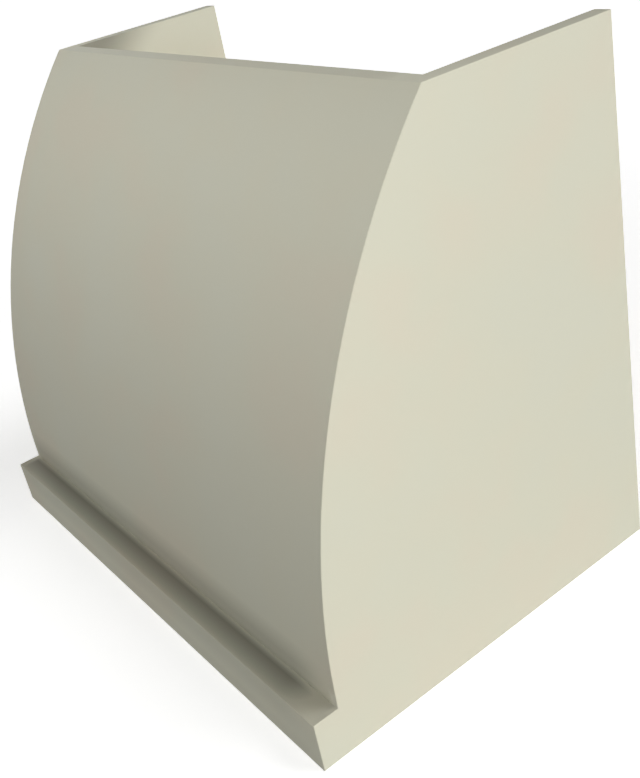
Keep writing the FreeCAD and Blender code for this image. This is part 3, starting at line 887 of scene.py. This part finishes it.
def turned_screw(length):
    """The mesh of a screw with its face at z = 0 and its tip below."""
    shape = bmesh.new()
    add_thread(shape, add_body(shape, length), length)
    bmesh.ops.recalc_face_normals(shape, faces=shape.faces)
    mesh = bpy.data.meshes.new("screw")
    shape.to_mesh(mesh)
    shape.free()
    return mesh


print("faces of a 32 mm screw:", len(turned_screw(31.75 * MM).polygons))

# %% [markdown]
# One screw is turned for each group, and a copy goes to each place, with its axis along the
# real one. The recesses don't line up on a real cover, so each screw is turned on by the
# golden angle, which never repeats.

# %% Drive the screws
GOLDEN_ANGLE = math.radians(137.5)


def drive_screws(name):
    """One piece with all screws of a group, each in its own place."""
    places = find_screws(name)
    screw = turned_screw((places[0][0] - places[0][1]).length)
    shape = bmesh.new()
    for number, (head, tip) in enumerate(places):
        before = len(shape.verts)
        shape.from_mesh(screw)
        shape.verts.ensure_lookup_table()
        turn = (head - tip).to_track_quat("Z", "Y").to_matrix().to_4x4()
        twist = Matrix.Rotation(number * GOLDEN_ANGLE, 4, "Z")
        bmesh.ops.transform(
            shape, matrix=Matrix.Translation(head) @ turn @ twist, verts=shape.verts[before:],
        )
    mesh = bpy.data.meshes.new(name + "_threaded")
    shape.to_mesh(mesh)
    shape.free()
    mesh.shade_smooth()
    mesh.set_sharp_from_angle(angle=CORNER)
    mesh.materials.append(zinc)
    piece = in_scene(mesh.name, mesh)
    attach(piece, "root")
    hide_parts(name)
    print("driven:", piece.name)


for name in SCREW_GROUPS:
    drive_screws(name)

# %% [markdown]
# ## The studio
#
# The cover stands on a plain floor. The floor and the world look white to the camera and in
# reflections, which is what Light Path tells apart, but they throw only a little light on the
# cover, so the paint keeps its tone and the floor its shadow. For light the card is a mid
# grey. To the camera it is nearly white, with a glow that makes up what the soft lamps lack;
# near the cover the glow is weaker, so that the shadow still shows.
#
# The floor has one side. Seen from beneath it is clear, and it casts no shadow, so the cover's
# underside can be lit and looked at too. It lies half a millimetre below the cover, or the two
# would share a plane.

# %% The floor's sheet
FLOOR_HALF, FLOOR_GAP = 40.0, 0.5 * MM

mesh = bpy.data.meshes.new("floor")
corners = [(-FLOOR_HALF, -FLOOR_HALF, 0), (FLOOR_HALF, -FLOOR_HALF, 0),
           (FLOOR_HALF, FLOOR_HALF, 0), (-FLOOR_HALF, FLOOR_HALF, 0)]
mesh.from_pydata(corners, [], [(0, 1, 2, 3)])
floor = in_scene("floor", mesh)
floor.location.z = -FLOOR_GAP
floor.visible_shadow = False
print("floor:", 2 * FLOOR_HALF, "m wide")

# %% [markdown]
# The sheet's material adds two things, a matt card and a glow. The glow is let through only
# for rays that come to be seen. The last mix swaps all of it for a clear sheet on the side
# that faces down.

# %% The floor's card
CARD_DARK, CARD_LIGHT, CARD_SEEN = "#A2A2A2", "#A8A8A8", "#FAFAFA"
GLOW_NEAR, GLOW_FAR = 0.54, 0.66
NEAR_COVER, FAR_AWAY = 0.7, 2.5
CARD_CLOUD = 0.5


def seen_white(tree):
    """1 for what the camera, a reflection or a glass sees, 0 for light on a matt surface."""
    path = add(tree, "LightPath").outputs
    seen = path["Is Camera Ray"]
    for kind in ("Is Glossy Ray", "Is Transmission Ray"):
        seen = add(tree, "Math", {0: seen, 1: path[kind]}, operation="MAXIMUM").outputs[0]
    return seen


floor_white, tree, place = new_material("studio floor, pale card")
card = add(tree, "TexNoise", {"Vector": place, "Scale": 1 / CARD_CLOUD, "Detail": 2.0})
shade = add(tree, "ValToRGB", {"Fac": card.outputs["Fac"]}, stops=[
    (0.0, linear(CARD_DARK)), (1.0, linear(CARD_LIGHT)),
])
seen = add(tree, "Mix", {
    0: add(tree, "LightPath").outputs["Is Camera Ray"],
    6: shade.outputs["Color"], 7: linear(CARD_SEEN),
}, data_type="RGBA")
matt = add(tree, "BsdfDiffuse", {"Color": seen.outputs[2]})
from_cover = add(tree, "VectorMath", {0: place}, operation="LENGTH")
pale = add(tree, "MapRange", {
    "Value": from_cover.outputs["Value"], "From Min": NEAR_COVER, "From Max": FAR_AWAY,
    "To Min": GLOW_NEAR, "To Max": GLOW_FAR,
}, interpolation_type="SMOOTHSTEP")
glow = add(tree, "Emission", {"Color": [1, 1, 1, 1], "Strength": pale.outputs["Result"]})
dark = add(tree, "Emission", {"Color": [0, 0, 0, 1], "Strength": 0.0})
lit = add(tree, "MixShader", {0: seen_white(tree), 1: dark.outputs[0], 2: glow.outputs[0]})
both = add(tree, "AddShader", {0: matt.outputs[0], 1: lit.outputs[0]})
underside = add(tree, "NewGeometry").outputs["Backfacing"]
clear = add(tree, "BsdfTransparent")
one_sided = add(tree, "MixShader", {0: underside, 1: both.outputs[0], 2: clear.outputs[0]})
add(tree, "OutputMaterial", {"Surface": one_sided.outputs[0]})
floor.data.materials.append(floor_white)
print("made:", floor_white.name)

# %% [markdown]
# The world is the backdrop. Seen, it has a strength of 1, which is white; as a light it is
# almost off, because the lamps do that work.

# %% The world
AMBIENT, WHITE = 0.02, 1.0

world = bpy.data.worlds.new("studio")
bpy.context.scene.world = world
world.use_nodes = True
tree = world.node_tree
tree.nodes.clear()
strength = add(tree, "Mix", {0: seen_white(tree), 2: AMBIENT, 3: WHITE})
sky = add(tree, "Background", {"Color": [1, 1, 1, 1], "Strength": strength.outputs[0]})
add(tree, "OutputWorld", {"Surface": sky.outputs[0]})
print("ambient light", AMBIENT)

# %% [markdown]
# ## The lamps
#
# The right-hand panel is the brightest face. The lip's face is less than half as bright, the
# bow brightens towards its top, and the ledge under it is dim. So most light comes level from
# the right, a second lamp stands high behind on the right and lights the top edges, a weaker
# one fills in from the left front, and a long strip hangs in front of the bow, over the ledge.
# A level lamp behind, on the right, lights the back and the inside of the left panel, and
# adds to the right-hand panel. Two more, on the left and beneath, are there for the other
# views. All are wide, for soft shadows. A lamp of strength pi facing a matt surface shows its
# colour as it is written.

# %% Lamps far away
SOFT = math.radians(30)
LAMPS = {
    "right": (90, 3, 0.365),
    "right_behind": (138, 52, 0.34),
    "left_front": (318, 3, 0.272),
    "left": (262, 3, 0.30),
    "behind": (145, 3, 0.54),
    "beneath": (0, -90, 0.35),
}   # azimuth and height in degrees, strength

for name, (azimuth, height, strength) in LAMPS.items():
    azimuth, height = math.radians(azimuth), math.radians(height)
    towards = Vector((
        math.sin(azimuth) * math.cos(height), -math.cos(azimuth) * math.cos(height),
        math.sin(height),
    ))
    lamp = in_scene(name, bpy.data.lights.new(name, "SUN"))
    lamp.data.energy = strength * math.pi
    lamp.data.angle = SOFT
    lamp.rotation_mode = "QUATERNION"
    lamp.rotation_quaternion = towards.to_track_quat("Z", "Y")
print("lamps:", list(LAMPS))

# %% [markdown]
# The strip is near, so its light falls off down the bow and leaves the top brightest. It
# hangs a little to the right, or the right-hand half of the bow comes out too dark. The
# camera doesn't see it.

# %% The strip over the ledge
STRIP_LENGTH, STRIP_WIDTH, STRIP_POWER = 2.4, 0.4, 4.7
STRIP_PLACE = (0.35, -0.77, 1.14)

strip = in_scene("strip_over_bow", bpy.data.lights.new("strip_over_bow", "AREA"))
strip.data.shape = "RECTANGLE"
strip.data.size, strip.data.size_y = STRIP_LENGTH, STRIP_WIDTH
strip.data.energy = STRIP_POWER
strip.location = STRIP_PLACE
strip.visible_camera = False
print("strip:", STRIP_POWER, "W")

# %% [markdown]
# ## Colours as they are
#
# The Standard view shows each colour as it is written, with no film curve over it.

# %% View transform
bpy.context.scene.view_settings.view_transform = "Standard"
